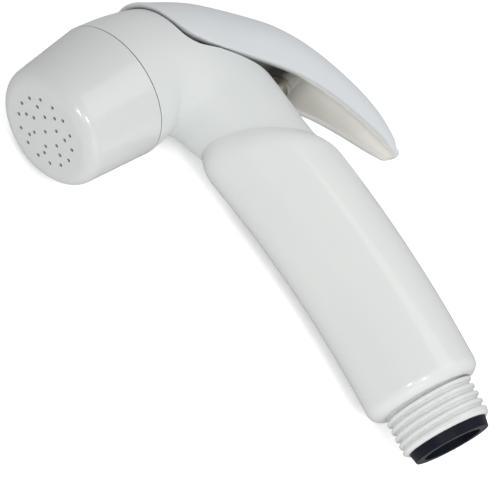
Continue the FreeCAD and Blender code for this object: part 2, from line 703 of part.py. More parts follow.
seal_ring("cap_seal", NOSE_SEAM + NOSE * size("cap_seal_station").value, NOSE,
          GROOVE_FLOOR + CAP_RING + 0.02, CAP_RING)

plate = new_body("diffuser_plate", AT_NOSE)
SKIRT_START = size("nose_spigot_length") + size("fit_gap")
SKIRT_BORE = PLATE - size("plate_step")
WEB = PLATE_BACK - size("plate_face")
turn(plate, "plate_turned", [
    (SKIRT_START, SKIRT_BORE), (WEB, SKIRT_BORE), (WEB, 0), (PLATE_BACK, 0), (PLATE_BACK, PLATE),
    (SKIRT_START, PLATE)])
PLATE_HOLE = size("plate_face")
DEEP = size("plate_face") * 4
holes(plate, "plate_holes_outer", PLATE_BACK, DEEP, [(PLATE * 0.72, 0, PLATE_HOLE)], 12)
holes(plate, "plate_holes_inner", PLATE_BACK, DEEP, [(PLATE * 0.38, 0, PLATE_HOLE)], 6)

# valve block in the head's leg
block = new_body("valve_block", AT_LEG)
STATION = size("valve_station")
FIRST = size("block_start")
LAST = size("block_start") + size("block_length")
BLOCK = size("leg_bore") - size("fit_gap")
turn(block, "block_turned", rod(FIRST, LAST, BLOCK))
BLOCK_RING = size("block_seal_section")
BLOCK_GROOVE = BLOCK - BLOCK_RING * 2 + 0.01
RING_BACK = size("block_seal_station") - BLOCK_RING - 0.17
RING_FRONT = size("block_seal_station") + BLOCK_RING + 0.17
turn(block, "seal_groove", tube(RING_BACK, RING_FRONT, BLOCK + 1.0, BLOCK_GROOVE), cut=True)
SOCKET_SEAT = FIRST + size("block_recess")
SOCKET_END = FIRST + size("tube_socket")
turn(block, "tube_socket", [
    (0, 0), (0, TUBE_RECESS), (SOCKET_SEAT, TUBE_RECESS), (SOCKET_SEAT, SOCKET),
    (SOCKET_END, SOCKET), (SOCKET_END, 0)], cut=True)
turn(block, "passage", rod(SOCKET_SEAT, STATION, size("passage_radius")),
     in_plane(Vector(0, size("passage_inset").value, 0), 0), cut=True)
valve_line = in_plane(Vector(STATION.value, 0, 0), 90)
turn(block, "valve_chamber", rod(-size("seat_depth"), BLOCK + 1.0, size("chamber_radius")),
     valve_line, cut=True)
SEAT_BACK = size("seat_depth") + size("seat_web")
SLOT_TOP = SEAT_BACK + size("outlet_height")
OUTSIDE = -BLOCK - 2.0
STEM_HOLE = size("stem_radius") + 0.30
SEAT_START = size("seat_depth") - 0.30
turn(block, "seat_and_gland", [
    (OUTSIDE, 0), (-SEAT_START, 0), (-SEAT_START, size("seat_radius")),
    (-SLOT_TOP, size("seat_radius")), (-SLOT_TOP, STEM_HOLE), (-size("gland_floor"), STEM_HOLE),
    (-size("gland_floor"), size("gland_bore")), (OUTSIDE, size("gland_bore"))], valve_line,
    cut=True)
sketch = new_sketch(block, "outlet_outline")
outline(sketch, [(STATION, -SLOT_TOP), (LAST + 1.0, -SLOT_TOP), (LAST + 1.0, -SEAT_BACK),
                 (STATION, -SEAT_BACK)])
slab(block, "outlet", sketch, size("outlet_width"), cut=True)

TUBE_RING = size("tube_radius") + size("ring_section") + 0.02
REAR_SEAL = size("block_start").value + size("block_recess").value / 2
FRONT_SEAL = -size("spigot_bore_depth").value - size("tube_recess").value / 2
seal_ring("block_seal", SEAM + LEG * size("block_seal_station").value, LEG,
          BLOCK_GROOVE + BLOCK_RING + 0.02, BLOCK_RING)
seal_ring("tube_seal_rear", SEAM + LEG * REAR_SEAL, LEG, TUBE_RING, size("ring_section"))
seal_ring("tube_seal_front", Vector(FRONT_SEAL, 0, 0), Vector(-1, 0, 0), TUBE_RING,
          size("ring_section"))

# gland, stem and valve on the valve's axis, which runs inwards
STEM = size("stem_radius")
SLIDE = STEM + 0.06
STEM_RING = size("stem_seal_section")
SEAL_BORE = STEM + STEM_RING * 2 + 0.04
SEAL_TOP = -size("stem_seal_station") - 0.75
PACKING_TOP = -size("stem_seal_station") + 0.77
GLAND_BODY = size("gland_bore") - size("fit_gap")
turned("gland_nut", [
    (-size("gland_top"), SLIDE), (SEAL_TOP, SLIDE), (SEAL_TOP, SEAL_BORE),
    (PACKING_TOP - 0.02, SEAL_BORE), (PACKING_TOP - 0.02, GLAND_BODY), (-BOSS_TOP, GLAND_BODY),
    (-BOSS_TOP, size("gland_head_radius")), (-size("gland_top"), size("gland_head_radius"))],
    AT_VALVE)
turned("gland_packing", tube(PACKING_TOP, -size("gland_floor"), GLAND_BODY, STEM + 0.02), AT_VALVE)
seal_ring("stem_seal", VALVE + OUTWARD * size("stem_seal_station").value, INWARD,
          STEM + STEM_RING + 0.02, STEM_RING)
THICK = size("disc_thickness")
DISC_TOP = -size("seat_depth") + 0.02
DISC_END = DISC_TOP + THICK
CLIP_END = DISC_END + size("clip_thickness")
BUTTON = size("stem_button")
BUTTON_BEVEL = size("stem_button_height") * 0.5
BUTTON_EDGE = BUTTON_BEVEL - size("stem_top")
BUTTON_BASE = BUTTON_EDGE + size("stem_button_height")
turned("valve_stem", [
    (-size("stem_top"), 0), (CLIP_END + 0.5, 0), (CLIP_END + 0.5, size("stem_neck")),
    (DISC_TOP, size("stem_neck")), (DISC_TOP, STEM), (BUTTON_BASE, STEM), (BUTTON_BASE, BUTTON),
    (BUTTON_EDGE, BUTTON), (-size("stem_top"), BUTTON - BUTTON_BEVEL)], AT_VALVE)
turned("valve_disc", tube(DISC_TOP, DISC_END, size("disc_radius"), size("stem_neck") + 0.02),
       AT_VALVE)
turned("disc_clip", tube(DISC_END + 0.02, CLIP_END, size("clip_radius"), size("stem_neck") + 0.02),
       AT_VALVE)
PLUG_START = size("plug_start")
PLUG_END = PLUG_START + size("plug_thickness")
PLUG = size("chamber_radius") - size("fit_gap")
PLUG_RING = size("plug_seal_section")
PLUG_GROOVE = PLUG - PLUG_RING * 2 - 0.01
PLUG_SEAL = PLUG_START.value + size("plug_thickness").value * 0.55
turned("valve_plug", [
    (PLUG_START, 0), (PLUG_END, 0), (PLUG_END, PLUG), (PLUG_END - 0.3, PLUG),
    (PLUG_END - 0.3, PLUG_GROOVE), (PLUG_START + 0.5, PLUG_GROOVE), (PLUG_START + 0.5, PLUG),
    (PLUG_START, PLUG)], AT_VALVE)
seal_ring("plug_seal", VALVE + INWARD * PLUG_SEAL, INWARD, PLUG_GROOVE + PLUG_RING + 0.01, PLUG_RING)
COIL = size("spring_radius")
WIRE = size("spring_wire")
spring_start = DISC_END + WIRE + 0.10
spring_height = (PLUG_START - WIRE - 0.06) - spring_start
coil("valve_spring", AT_VALVE, spring_start, spring_height, COIL, WIRE, 4.0)

# water tube from the inlet to the valve block
water_tube = new_body("water_tube")
reach = SEAM.y / LEG.y
tube_corner = SEAM - LEG * reach
half_turn = math.radians(size("leg_angle").value - 180) / 2
length = size("tube_bend").value * math.tan(half_turn)
PLAY = 0.20
TUBE_START = Vector(-size("spigot_bore_depth").value - PLAY, 0, 0)
bend_in = tube_corner + Vector(length, 0, 0)
bend_out = tube_corner + LEG * length
crown = bend_in + Vector(0, -size("tube_bend").value, 0)
bend_top = crown + direction(90 + math.degrees(half_turn)) * size("tube_bend").value
tube_end = SEAM + LEG * (SOCKET_END.value - PLAY / 2)
path = spine(water_tube, "tube_path", bend_in, bend_top, bend_out, TUBE_START, tube_end)
sketch = new_sketch(water_tube, "tube_section", across(TUBE_START, Vector(-1, 0, 0)))
circles(sketch, [(0, 0, size("tube_radius")), (0, 0, size("tube_bore"))])
swept(water_tube, "tube_swept", sketch, path)

# inlet collar with the check valve
SLEEVE = size("spigot_bore") - size("fit_gap")
WALL_BORE = size("collar_wall_bore")
HOLE_END = -size("collar_hole_depth")
SEAT_FRONT = size("check_seat_web") - size("check_seat_face")
turned("inlet_collar", [
    (0, size("collar_hole")), (HOLE_END, size("collar_hole")), (HOLE_END, WALL_BORE),
    (SEAT_FRONT, WALL_BORE), (SEAT_FRONT, size("check_seat")),
    (-size("check_seat_face"), size("check_seat")), (-size("check_seat_face"), WALL_BORE),
    (-size("collar_length"), WALL_BORE), (-size("collar_length"), SLEEVE),
    (-size("collar_flange"), SLEEVE), (-size("collar_flange"), size("collar_radius")),
    (0, size("collar_front_radius"))])
COLLAR_RING = size("collar_seal_section")
COLLAR_SEAL = -size("collar_flange").value - COLLAR_RING.value - 0.03
seal_ring("collar_seal", Vector(COLLAR_SEAL, 0, 0), Vector(1, 0, 0), SLEEVE + COLLAR_RING + 0.02,
          COLLAR_RING)
STRAINER = WALL_BORE - 0.02
STRAINER_BACK = SEAT_FRONT + 0.02
STRAINER_FRONT = STRAINER_BACK + size("strainer_thickness")
strainer = turned("inlet_strainer", rod(STRAINER_BACK, STRAINER_FRONT, STRAINER))
PORE = size("strainer_hole")
DEEP = size("strainer_thickness") * 4
holes(strainer, "strainer_middle", STRAINER_BACK, DEEP, [(0, 0, PORE)])
holes(strainer, "strainer_inner", STRAINER_BACK, DEEP, [(STRAINER * 0.36, 0, PORE)], 6)
holes(strainer, "strainer_outer", STRAINER_BACK, DEEP, [(STRAINER * 0.74, 0, PORE)], 12)
GUIDE_END = -size("collar_length")
GUIDE_FACE = GUIDE_END + size("guide_thickness")
GUIDE = WALL_BORE - 0.02
POPPET_STEM = size("poppet_stem")
GUIDE_BORE = POPPET_STEM + 0.10
WINDOW = (GUIDE - GUIDE_BORE) * 0.27
WINDOW_PLACE = GUIDE_BORE + (GUIDE - GUIDE_BORE) * 0.54
guide = turned("check_guide", tube(GUIDE_END, GUIDE_FACE, GUIDE, GUIDE_BORE))
holes(guide, "guide_window", GUIDE_END, size("guide_thickness") * 3, [(WINDOW_PLACE, 0, WINDOW)], 6)
FACE = -size("check_seat_face") - 0.02
POPPET = size("poppet_radius")
POPPET_RING = size("poppet_seal_section")
RING_OUTER = POPPET - 0.12
RING_INNER = RING_OUTER - POPPET_RING * 2 - 0.09
RING_FLOOR = FACE - POPPET_RING * 2 - 0.06
POPPET_BACK = FACE - size("poppet_head")
POPPET_END = GUIDE_END - 0.5
NOSE_CONE = size("check_seat") - 0.5
turned("check_poppet", [
    (FACE + 0.6, 0), (FACE + 0.6, NOSE_CONE - 0.9), (FACE, NOSE_CONE), (FACE, RING_INNER),
    (RING_FLOOR, RING_INNER), (RING_FLOOR, RING_OUTER), (FACE, RING_OUTER), (FACE, POPPET),
    (POPPET_BACK, POPPET), (POPPET_BACK, POPPET_STEM), (POPPET_END, POPPET_STEM),
    (POPPET_END, 0)])
RING_PLACE = FACE.value - POPPET_RING.value - 0.02
seal_ring("poppet_seal", Vector(RING_PLACE, 0, 0), Vector(1, 0, 0), RING_INNER + POPPET_RING + 0.04,
          POPPET_RING)
spring_start = GUIDE_FACE + WIRE + 0.03
spring_height = (POPPET_BACK - WIRE - 0.01) - spring_start
coil("check_spring", Placement(), spring_start, spring_height, COIL, WIRE, 5.0)

# lever: arched shell, eyes on the pin and pusher over the stem
lever = new_body("lever")
REACH = size("lever_reach").value
# rim and crown as shares of the lever's reach, back along the leg and outwards from the rim's
# foot, and half the width as a share of the head's radius at the nose seam
ARCH = [
    ((0.000, 0.000), 0.834, (-0.304, 0.154)),
    ((0.103, 0.118), 0.708, (-0.049, 0.410)),
    ((0.214, 0.242), 0.594, (0.113, 0.524)),
    ((0.327, 0.339), 0.499, (0.288, 0.591)),
    ((0.454, 0.413), 0.417, (0.490, 0.628)),
    ((0.609, 0.473), 0.348, (0.666, 0.634)),
    ((0.752, 0.509), 0.256, (0.813, 0.602)),
    ((0.853, 0.522), 0.107, (0.873, 0.546)),
]
FRONT_HALF = WIDE * 0.91
lever_front = NOSE_SEAM - NOSE * (size("recess_front").value + GAP)
front_rim = meeting(lever_front, ACROSS_NOSE, RIM_POINT, RIM)
front_crown = lever_front - ACROSS_NOSE * FRONT_HALF


def arch_section(label, rim, half, crown_point, wall, shift):
    """Arched section: straight skirt with a half circle on top."""
    rise = (crown_point - rim)
    height = rise.Length
    rise.normalize()
    below = wall * 0.45
    start = rim + shift - rise * below
    half = half - wall
    top = height - wall - half + below
    turned_frame = Rotation(UP, rise, UP.cross(rise), "XYZ")
    sketch = new_sketch(lever, label, Placement(start, turned_frame))
    corners = [Vector(-half, 0, 0), Vector(half, 0, 0), Vector(half, top, 0), Vector(-half, top, 0)]
    sketch.addGeometry(Part.LineSegment(corners[0], corners[1]), False)
    sketch.addGeometry(Part.LineSegment(corners[1], corners[2]), False)
    sketch.addGeometry(Part.Arc(corners[2], Vector(0, top + half, 0), corners[3]), False)
    sketch.addGeometry(Part.LineSegment(corners[3], corners[0]), False)
    for i in range(4):
        sketch.addConstraint(Sketcher.Constraint("Block", i))
    return sketch


def arch(label, wall, count):
    """Sections of the arch from the front to the tip."""
    ahead = NOSE * wall * 0.67
    found = [arch_section(label + "_front", front_rim, FRONT_HALF, front_crown, wall, ahead)]
    for i, (rim, half, top) in enumerate(ARCH[:count]):
        rim_place, top_place = (
            RIM_POINT - LEG * REACH * back + OUTWARD * REACH * height
            for back, height in (rim, top))
        name = "%s_%d" % (label, i)
        found.append(arch_section(name, rim_place, WIDE * half, top_place, wall, Vector()))
    return found


loft(lever, "arch", arch("arch_section", 0.0, len(ARCH)))
WALL = size("lever_wall").value
loft(lever, "arch_hollow", arch("hollow_arch", WALL, len(ARCH) - 1), cut=True)
CORNER_REACH = size("recess_corner").value * 0.65
corner_front = front_rim - ACROSS_NOSE * CORNER_REACH
corner_top = front_rim + RIM * CORNER_REACH
beyond = (ACROSS_NOSE - RIM) * CORNER_REACH
sketch = new_sketch(lever, "corner_outline")
outline(sketch, [(p.x, p.y) for p in (
    corner_front, front_rim, corner_top, corner_top + beyond, corner_front + beyond)],
    {1: size("recess_corner")})
slab(lever, "corner_cut", sketch, size("nose_radius") * 4, cut=True)
eye_way = 146.0
sketch = new_sketch(lever, "web_outline", in_plane(PIN, eye_way))
EYE = size("eye_radius")
EYE_REACH = size("eye_reach")
outline(sketch, [(0, -EYE), (EYE_REACH, -EYE), (EYE_REACH, EYE), (0, EYE)])
EYE_INNER = size("lug_half") + size("eye_gap")
EYE_OUTER = EYE_INNER + size("eye_width")
slab(lever, "eye_web", sketch, EYE_OUTER * 2)
sketch = new_sketch(lever, "eye_outline", in_plane(PIN, 0))
circles(sketch, [(0, 0, EYE)])
slab(lever, "eye", sketch, EYE_OUTER * 2)
sketch = new_sketch(lever, "eye_space_outline", in_plane(PIN, eye_way))
CLEAR = size("lug_radius") + 1.0
outline(sketch, [(-CLEAR, -CLEAR), (CLEAR + 0.1, -CLEAR), (CLEAR + 0.1, CLEAR), (-CLEAR, CLEAR)])
slab(lever, "eye_space", sketch, EYE_INNER * 2, cut=True)
sketch = new_sketch(lever, "eye_hole_outline", in_plane(PIN, 0))
circles(sketch, [(0, 0, size("pin_radius") + size("fit_gap"))])
slab(lever, "eye_hole", sketch, EYE_OUTER * 3, cut=True)
LOW = size("stem_top") + size("pusher_gap")
PUSHER = size("pusher_radius")
PUSHER_END = LOW + size("pusher_length")
PUSHER_TIP = PUSHER * 0.36
turn(lever, "pusher", [
    (LOW, 0), (LOW, PUSHER_TIP), (LOW + PUSHER_TIP, PUSHER), (PUSHER_END, PUSHER),
    (PUSHER_END, 0)], OUTWARDS)

DOC.recompute()
faulty = [item.Name for item in DOC.Objects if "Invalid" in item.State or "Error" in item.State]
nodes = [item for item in DOC.Objects
         if item.TypeId in ("PartDesign::Body", "Part::Torus")]
for item in nodes:
    if item.Shape.isNull() or not item.Shape.isValid() or len(item.Shape.Solids) != 1:
        faulty.append(item.Label)
if faulty:
    raise RuntimeError("faulty: " + ", ".join(faulty))
os.makedirs("parts", exist_ok=True)
for item in nodes:
    item.Shape.exportStep(os.path.join("parts", item.Label + ".step"))
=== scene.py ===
"""Dresses the hand shower head: white moulded shells, a cut hose thread, a black inlet collar.

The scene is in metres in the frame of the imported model: origin at the centre of the inlet's
end face, +X along the hose thread towards the hose, the spray face towards -Y, +Z up. The
handle and the lever are worked out in millimetres and become metres as their mesh is made.
"""
import json
import math

import bmesh
import bpy
import numpy as np
from mathutils import Matrix, Vector


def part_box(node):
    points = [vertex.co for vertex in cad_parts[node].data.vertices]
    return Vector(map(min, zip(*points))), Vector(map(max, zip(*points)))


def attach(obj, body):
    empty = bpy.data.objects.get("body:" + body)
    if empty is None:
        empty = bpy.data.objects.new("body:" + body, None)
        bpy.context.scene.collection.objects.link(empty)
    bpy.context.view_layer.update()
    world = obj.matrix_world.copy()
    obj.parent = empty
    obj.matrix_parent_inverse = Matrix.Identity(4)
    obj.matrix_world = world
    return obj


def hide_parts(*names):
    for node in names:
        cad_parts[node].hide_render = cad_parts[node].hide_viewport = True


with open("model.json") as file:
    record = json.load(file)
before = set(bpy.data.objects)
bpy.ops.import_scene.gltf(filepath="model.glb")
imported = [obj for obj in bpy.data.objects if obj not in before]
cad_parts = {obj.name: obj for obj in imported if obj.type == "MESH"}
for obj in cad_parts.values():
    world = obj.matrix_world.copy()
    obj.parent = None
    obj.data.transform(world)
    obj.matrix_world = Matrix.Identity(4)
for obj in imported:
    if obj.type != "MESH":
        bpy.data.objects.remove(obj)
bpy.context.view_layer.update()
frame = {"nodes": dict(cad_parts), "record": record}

MM = 0.001
UP = np.array([0.0, 0.0, 1.0])

# the Mix node's colour inputs and its colour result, by number
MIX_FIRST, MIX_SECOND, MIX_RESULT = 6, 7, 2


def put(tree, value, socket):
    """Feeds a socket from another socket, or sets its plain value."""
    if isinstance(value, bpy.types.NodeSocket):
        tree.links.new(value, socket)
    else:
        socket.default_value = value


def new_group(name, sockets):
    """An empty node group. sockets lists (name, direction, socket type, default)."""
    group = bpy.data.node_groups.new(name, "ShaderNodeTree")
    for title, way, kind, default in sockets:
        socket = group.interface.new_socket(title, in_out=way, socket_type=kind)
        if default is not None:
            socket.default_value = default
    return group, group.nodes.new("NodeGroupInput"), group.nodes.new("NodeGroupOutput")


def noise(tree, vector, scale, detail):
    """A noise texture on a vector; scale is in features per metre."""
    node = tree.nodes.new("ShaderNodeTexNoise")
    node.inputs["Scale"].default_value = scale
    node.inputs["Detail"].default_value = detail
    tree.links.new(vector, node.inputs["Vector"])
    return node.outputs["Fac"]


def spread(tree, value, low, high, to_low=0.0, to_high=1.0):
    """Maps a value from one span to another; the spans' ends are numbers or sockets."""
    node = tree.nodes.new("ShaderNodeMapRange")
    for title, part in (("Value", value), ("From Min", low), ("From Max", high),
                        ("To Min", to_low), ("To Max", to_high)):
        put(tree, part, node.inputs[title])
    return node.outputs["Result"]


def mix_colour(tree, factor, first, second, blend="MIX"):
    """Blends two colours; the factor and the colours are sockets or plain values."""
    node = tree.nodes.new("ShaderNodeMix")
    node.data_type = "RGBA"
    node.blend_type = blend
    put(tree, factor, node.inputs["Factor"])
    put(tree, first, node.inputs[MIX_FIRST])
    put(tree, second, node.inputs[MIX_SECOND])
    return node.outputs[MIX_RESULT]


def bump(tree, height, strength, distance, normal=None):
    """A bump normal from a height, on top of another normal if one is given."""
    node = tree.nodes.new("ShaderNodeBump")
    node.inputs["Strength"].default_value = strength
    node.inputs["Distance"].default_value = distance
    tree.links.new(height, node.inputs["Height"])
    if normal is not None:
        tree.links.new(normal, node.inputs["Normal"])
    return node.outputs["Normal"]


def openness(tree, samples, distance):
    """How open a spot is: 1 on a free surface, less where something stands within reach."""
    node = tree.nodes.new("ShaderNodeAmbientOcclusion")
    node.samples = samples
    node.inputs["Distance"].default_value = distance
    return node.outputs["AO"]


def moulding_group():
    """Colour, roughness and normal of an injection-moulded surface.

    A cloudy tone a few centimetres wide that darkens to the crevice shade in gaps and holes,
    roughness in patches of a few millimetres, an orange peel about a millimetre wide and a
    grain of a fifth of a millimetre.
    """
    group, source, target = new_group("moulding", [
        ("Vector", "INPUT", "NodeSocketVector", None),
        ("Light tone", "INPUT", "NodeSocketColor", (0.8, 0.8, 0.8, 1)),
        ("Dark tone", "INPUT", "NodeSocketColor", (0.7, 0.7, 0.7, 1)),
        ("Low roughness", "INPUT", "NodeSocketFloat", 0.3),
        ("High roughness", "INPUT", "NodeSocketFloat", 0.4),
        ("Crevice shade", "INPUT", "NodeSocketFloat", 0.12),
        ("Color", "OUTPUT", "NodeSocketColor", None),
        ("Roughness", "OUTPUT", "NodeSocketFloat", None),
        ("Normal", "OUTPUT", "NodeSocketVector", None)])
    place = source.outputs["Vector"]
    cloud = spread(group, noise(group, place, scale=45.0, detail=4.0), low=0.3, high=0.7)
    tone = mix_colour(group, cloud, source.outputs["Dark tone"], source.outputs["Light tone"])
    open_share = openness(group, samples=8, distance=1.6 * MM)
    shade = spread(group, open_share, low=0.05, high=0.60,
                   to_low=source.outputs["Crevice shade"])
    rough = spread(group, noise(group, place, scale=240.0, detail=3.0), low=0.0, high=1.0,
                   to_low=source.outputs["Low roughness"],
                   to_high=source.outputs["High roughness"])
    peel = bump(group, noise(group, place, scale=700.0, detail=2.0),
                strength=0.05, distance=0.2 * MM)
    grain = bump(group, noise(group, place, scale=5200.0, detail=2.0),
                 strength=0.06, distance=0.05 * MM, normal=peel)
    group.links.new(mix_colour(group, 1.0, tone, shade, "MULTIPLY"), target.inputs["Color"])
    group.links.new(rough, target.inputs["Roughness"])
    group.links.new(grain, target.inputs["Normal"])
    return group


MOULDING = moulding_group()


def new_material(name):
    """A material with its Principled shader; returns material, tree, shader and coordinates."""
    material = bpy.data.materials.new(name)
    material.use_nodes = True
    tree = material.node_tree
    shader = tree.nodes["Principled BSDF"]
    place = tree.nodes.new("ShaderNodeTexCoord")
    return material, tree, shader, place.outputs["Object"]


def moulded(name, light, dark, roughness, settings=None, crevice=0.12, marks=()):
    """A moulded plastic or rubber: two close tones, a span of roughness, a crevice shade.

    marks lists (mesh attribute, light tone, dark tone) for parts with tones of their own.
    """
    material, tree, shader, place = new_material(name)
    tones = {"Light tone": (*light, 1), "Dark tone": (*dark, 1)}
    for attribute, marked_light, marked_dark in marks:
        mask = tree.nodes.new("ShaderNodeAttribute")
        mask.attribute_name = attribute
        for title, tone in (("Light tone", marked_light), ("Dark tone", marked_dark)):
            tones[title] = mix_colour(tree, mask.outputs["Fac"], tones[title], (*tone, 1))
    effect = tree.nodes.new("ShaderNodeGroup")
    effect.node_tree = MOULDING
    for title, value in (("Vector", place), *tones.items(), ("Low roughness", roughness[0]),
                         ("High roughness", roughness[1]), ("Crevice shade", crevice)):
        put(tree, value, effect.inputs[title])
    tree.links.new(effect.outputs["Color"], shader.inputs["Base Color"])
    tree.links.new(effect.outputs["Roughness"], shader.inputs["Roughness"])
    tree.links.new(effect.outputs["Normal"], shader.inputs["Normal"])
    for title, value in (settings or {}).items():
        shader.inputs[title].default_value = value
    return material


def turned_metal(name, light, dark, roughness):
    """A turned or drawn metal: a cloudy tone and fine lines in roughness and height."""
    material, tree, shader, place = new_material(name)
    shader.inputs["Metallic"].default_value = 1.0
    cloud = spread(tree, noise(tree, place, scale=160.0, detail=3.0), low=0.3, high=0.7)
    lines = noise(tree, place, scale=2600.0, detail=2.0)
    tree.links.new(mix_colour(tree, cloud, (*dark, 1), (*light, 1)), shader.inputs["Base Color"])
    tree.links.new(spread(tree, lines, 0.3, 0.7, *roughness), shader.inputs["Roughness"])
    tree.links.new(bump(tree, lines, strength=0.08, distance=0.04 * MM),
                   shader.inputs["Normal"])
    return material


GLOSSY = {"Specular IOR Level": 0.5, "Coat Weight": 0.80, "Coat Roughness": 0.09}
SATIN = {"Specular IOR Level": 0.4}
DULL = {"Specular IOR Level": 0.15}
# painted light: the lever's hollow is given a lighter, warmer beige tone that stands in for warm
# light bounced up from below
HOLLOW_BOUNCE_LIGHT_MARK = ("hollow", (0.93, 0.915, 0.86), (0.90, 0.885, 0.83))
# painted shade: a dark tone on the end of the lever's hollow, where it lies over the head and the
# stem, and a little less on the eyes and the pusher
GAP_PAINTED_SHADE_MARK = ("gap", (0.27, 0.265, 0.245), (0.24, 0.235, 0.215))
# each finish has a light tone, a dark tone and a span of roughness
FINISHES = {
    "white_shell": moulded("white_abs", (0.805, 0.820, 0.808), (0.785, 0.802, 0.790),
                           (0.30, 0.38), GLOSSY, crevice=0.40),
    # painted shade: the cap is the handle's white plastic in a darker tone, standing in for the
    # shade on its face, which is turned from the light
    "shaded_white_cap": moulded("shaded_white_cap", (0.695, 0.715, 0.702), (0.675, 0.696, 0.680),
                         (0.30, 0.38), GLOSSY, crevice=0.42),
    # painted shade: the head is the handle's white plastic in a darker tone, standing in for the
    # shade on it
    "shaded_white_head": moulded("shaded_white_head", (0.712, 0.734, 0.730), (0.688, 0.712, 0.710),
                          (0.44, 0.52), SATIN),
    # painted light and shade: the lever is the handle's white plastic in a darker, bluer tone,
    # standing in for shade and the cool light from above
    "white_lever": moulded("white_lever", (0.700, 0.728, 0.752), (0.680, 0.710, 0.735),
                           (0.44, 0.52), SATIN, marks=(HOLLOW_BOUNCE_LIGHT_MARK, GAP_PAINTED_SHADE_MARK)),
    "white_moulding": moulded("white_inner", (0.60, 0.60, 0.58), (0.55, 0.55, 0.53),
                              (0.42, 0.55)),
    "collar_black": moulded("navy_black", (0.010, 0.012, 0.022), (0.006, 0.007, 0.013),
                            (0.34, 0.50), DULL),
    "seal_rubber": moulded("black_rubber", (0.022, 0.022, 0.024), (0.014, 0.014, 0.015),
                           (0.55, 0.72)),
    "grey_moulding": moulded("grey_acetal", (0.30, 0.31, 0.32), (0.25, 0.26, 0.27),
                             (0.40, 0.52)),
    "brass": turned_metal("plated_brass", (0.70, 0.67, 0.61), (0.60, 0.57, 0.51),
                          (0.48, 0.60)),
    "steel": turned_metal("drawn_steel", (0.66, 0.67, 0.68), (0.55, 0.56, 0.57),
                          (0.20, 0.34)),
}
NODE_FINISH = {entry["node"]: entry["material_slot"] for entry in frame["record"]["subparts"]}
# the head and the cap take the white plastic in darker tones, as painted shade
NODE_FINISH.update(head_body="shaded_white_head", nozzle_cap="shaded_white_cap")


def give_finish(item, finish):
    """Leaves an object with one material, that of a finish."""
    item.data.materials.clear()
    item.data.materials.append(FINISHES[finish])


for name, item in frame["nodes"].items():
    give_finish(item, NODE_FINISH[name])


def ring_faces(rows, columns, first, closed):
    """Quads between neighbouring rings of points, and from the last to the first if closed."""
    row = np.arange(rows if closed else rows - 1)[:, None]
    column = np.arange(columns)[None, :]
    above, beside = (row + 1) % rows, (column + 1) % columns
    corners = (row * columns + column, above * columns + column,
               above * columns + beside, row * columns + beside)
    return (first + np.stack(corners, -1).reshape(-1, 4)).tolist()


def end_faces(kind, rows, columns, first):
    """Faces that close the two ends of a stack of rings.

    lids puts one polygon on each end, and shell closes each end of a thin-walled section
    whose second half runs back along the first. A loop has no ends.
    """
    ends = np.array([first, first + (rows - 1) * columns])[:, None]
    if kind == "lids":
        return (ends + np.arange(columns)).tolist()
    if kind == "shell":
        step = np.arange(columns // 2 - 1)
        corners = (ends + step, ends + step + 1,
                   ends + columns - 2 - step, ends + columns - 1 - step)
        return np.stack(corners, -1).reshape(-1, 4).tolist()
    return []


SHARP_EDGE = math.radians(40.0)


def make_piece(name, stacks, body, replaced, finish):
    """A piece from stacks of rings in millimetres: (kind of ends, rings of points)."""
    points, faces, first = [], [], 0
    for kind, rings in stacks:
        rows, columns = rings.shape[:2]
        points.append(rings.reshape(-1, 3) * MM)
        faces += ring_faces(rows, columns, first, kind == "loop")
        faces += end_faces(kind, rows, columns, first)
        first += rows * columns
    mesh = bpy.data.meshes.new(name)
    mesh.from_pydata(np.concatenate(points).tolist(), [], faces)
    solid = bmesh.new()
    solid.from_mesh(mesh)
    bmesh.ops.recalc_face_normals(solid, faces=solid.faces)
    solid.to_mesh(mesh)
    solid.free()
    mesh.polygons.foreach_set("use_smooth", np.ones(len(mesh.polygons), bool))
    mesh.set_sharp_from_angle(angle=SHARP_EDGE)
    item = bpy.data.objects.new(name, mesh)
    bpy.context.scene.collection.objects.link(item)
    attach(item, body)
    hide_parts(replaced)
    give_finish(item, finish)
    return item


def unit(degrees):
    """Unit vector in the plane of symmetry, from +X towards +Y."""
    return np.array([math.cos(math.radians(degrees)), math.sin(math.radians(degrees)), 0.0])


def soft_step(value, start=0.0, length=1.0):
    """Rises smoothly from 0 to 1 over a length: three squares less two cubes of the share."""
    share = np.clip((value - start) / length, 0.0, 1.0)
    return share * share * (3.0 - 2.0 * share)


def by_ring(values):
    """Values as a column, one for each ring of a stack."""
    return np.reshape(values, (-1, 1))


def turns(count):
    """Angles of the points round a ring."""
    return np.linspace(0.0, 2.0 * math.pi, count, endpoint=False)


# the handle in millimetres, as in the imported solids; distances from the inlet's end face
# go up the handle, and a run goes along the grip's bend from BEND_START
BEND_RADIUS = 251.6
BEND_START = 18.14
GRIP_RUN = 59.4
GRIP_RADIUS = 13.35
SHOULDER = 11.6
SHOULDER_ROUND = 3.0
THREAD_RADIUS = 10.4775
THREAD_PITCH = 1.814
THREAD_DEPTH = 0.75
THREAD_PHASE = -5.75
THREAD_LEAD_IN = 1.6
# shares of half a pitch: the crest's flat top, and the flank that falls from it
CREST_SHARE = 0.22
FLANK_SHARE = 0.60
NECK_RADIUS = 9.85
NECK_START = 11.32
NECK_FALL = 0.12
NECK_CORNER = 0.15
SPIGOT_END = 2.3
SEAM_SLANT = 34.2
LEG_ANGLE = 196.0
LIP_DRAW = 1.85
LIP_LENGTH = 6.0
LIP_POWER = 2.6
SOCKET_MOUTH = 10.6
SOCKET_RADIUS = 9.65
SOCKET_DEPTH = 9.0
SOCKET_FLOOR = 8.9
SOCKET_FLOOR_DEPTH = 9.02
HOLLOW_RADIUS = 9.0
COLLAR_BORE = 8.7
